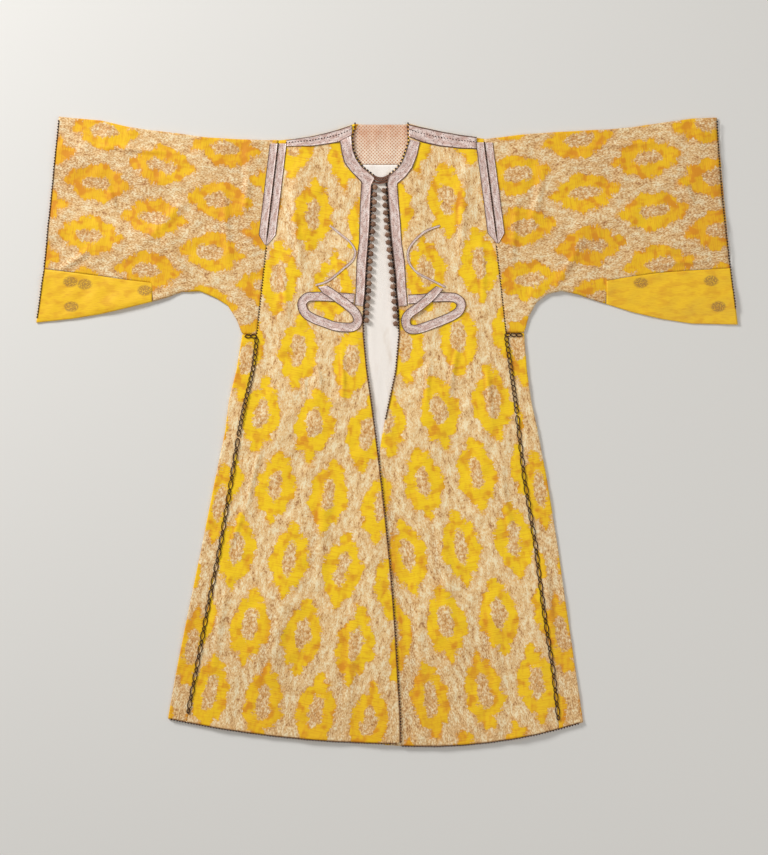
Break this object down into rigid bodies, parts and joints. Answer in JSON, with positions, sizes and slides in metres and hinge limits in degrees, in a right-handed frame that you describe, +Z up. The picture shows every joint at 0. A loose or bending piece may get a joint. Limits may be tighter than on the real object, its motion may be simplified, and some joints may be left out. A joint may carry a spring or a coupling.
{
  "type": "moroccan kaftan",
  "caption": "Open-fronted robe in brocaded silk with wide straight sleeves, galloon trim and knotted buttons, laid flat face up.",
  "frame": {"origin": "middle of the garment's box, on the surface that it lies on", "axes": "+X towards the wearer's left sleeve, +Y towards the neck, +Z up from the surface, out of the front of the garment"},
  "size_m": [1.472, 1.3217, 0.0116],
  "materials": {
    "brocade": "yellow silk brocaded with silver-gilt thread",
    "plain_silk": "golden yellow silk with a fine weave",
    "lining": "plain white cotton",
    "printed_cotton": "cream cotton printed with small brown dots",
    "galloon": "woven silver-thread galloon, tarnished pinkish grey",
    "dark_silk": "dark brown silk cord and braid",
    "knotted_silk": "grey-brown silk cord knots"
  },
  "bodies": {
    "root": {"back": "brocade", "front_right": "brocade", "front_left": "brocade", "gore_right": "brocade", "gore_left": "brocade", "sleeve_right": "brocade", "sleeve_left": "brocade", "sleeve_gusset_right": "plain_silk", "sleeve_gusset_left": "plain_silk", "lining_back": "lining", "neck_facing": "printed_cotton", "front_band_right": "galloon", "front_band_left": "galloon", "ribbon_loop_right": "galloon", "ribbon_loop_left": "galloon", "chest_cord_right": "galloon", "chest_cord_left": "galloon", "armhole_band_right": "galloon", "armhole_band_left": "galloon", "shoulder_band_right": "galloon", "shoulder_band_left": "galloon", "side_braid_right": "dark_silk", "side_braid_left": "dark_silk", "underarm_braid_right": "dark_silk", "underarm_braid_left": "dark_silk", "hem_edging_right": "dark_silk", "hem_edging_left": "dark_silk", "cuff_edging_right": "dark_silk", "cuff_edging_left": "dark_silk", "front_edging_right": "dark_silk", "front_edging_left": "dark_silk", "button_01": "knotted_silk", "button_02": "knotted_silk", "button_03": "knotted_silk", "button_04": "knotted_silk", "button_05": "knotted_silk", "button_06": "knotted_silk", "button_07": "knotted_silk", "button_08": "knotted_silk", "button_09": "knotted_silk", "button_10": "knotted_silk", "button_11": "knotted_silk", "button_12": "knotted_silk", "button_13": "knotted_silk", "button_14": "knotted_silk", "button_15": "knotted_silk", "button_16": "knotted_silk", "button_17": "knotted_silk", "button_18": "knotted_silk", "button_19": "knotted_silk"}
  },
  "joints": []
}
